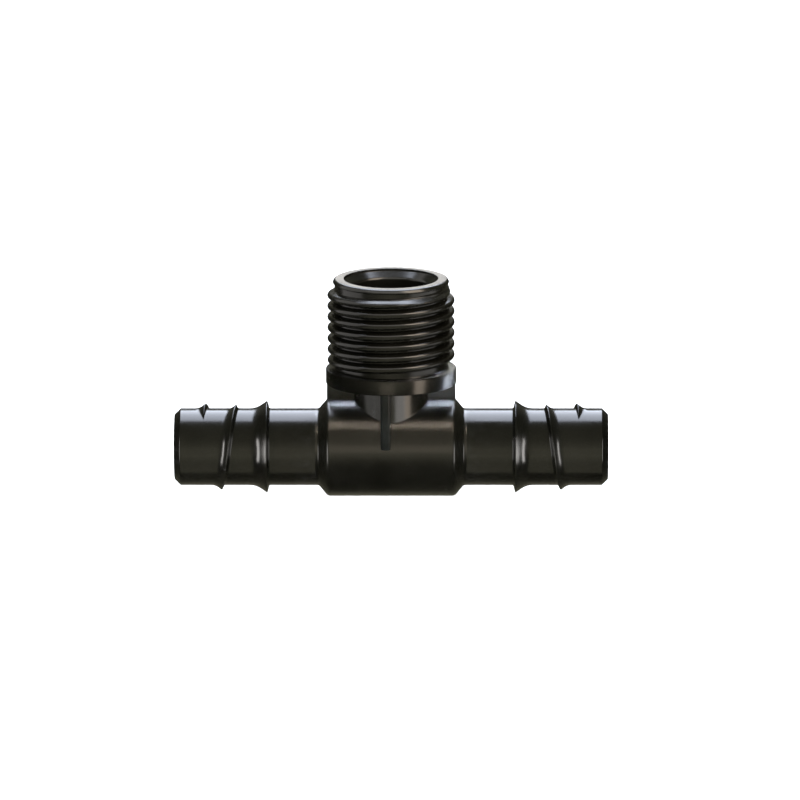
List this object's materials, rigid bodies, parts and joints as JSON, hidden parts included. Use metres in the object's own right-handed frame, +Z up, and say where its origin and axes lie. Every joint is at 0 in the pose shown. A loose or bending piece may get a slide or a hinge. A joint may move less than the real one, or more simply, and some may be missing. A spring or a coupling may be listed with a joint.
{
  "type": "barbed tee connector",
  "caption": "Black plastic irrigation tee: straight run with barbed hose spigots at both ends and a flanged male pipe-thread branch.",
  "frame": {"origin": "centre of the footprint on the ground: straight below the crossing of the run's and the branch's axes, on the lowest line of the centre barrel", "axes": "+X along the run towards the right-hand spigot, +Z up along the threaded branch, +Y from front to back"},
  "size_m": [0.0716, 0.0216, 0.0365],
  "materials": {
    "black_polypropylene": "injection-moulded black polypropylene, semi-gloss"
  },
  "bodies": {
    "root": {"run_barrel": "black_polypropylene", "left_barbed_spigot": "black_polypropylene", "right_barbed_spigot": "black_polypropylene", "branch_neck": "black_polypropylene", "branch_flange": "black_polypropylene", "threaded_branch": "black_polypropylene", "front_rib": "black_polypropylene", "back_rib": "black_polypropylene", "left_web": "black_polypropylene", "right_web": "black_polypropylene"}
  },
  "joints": []
}
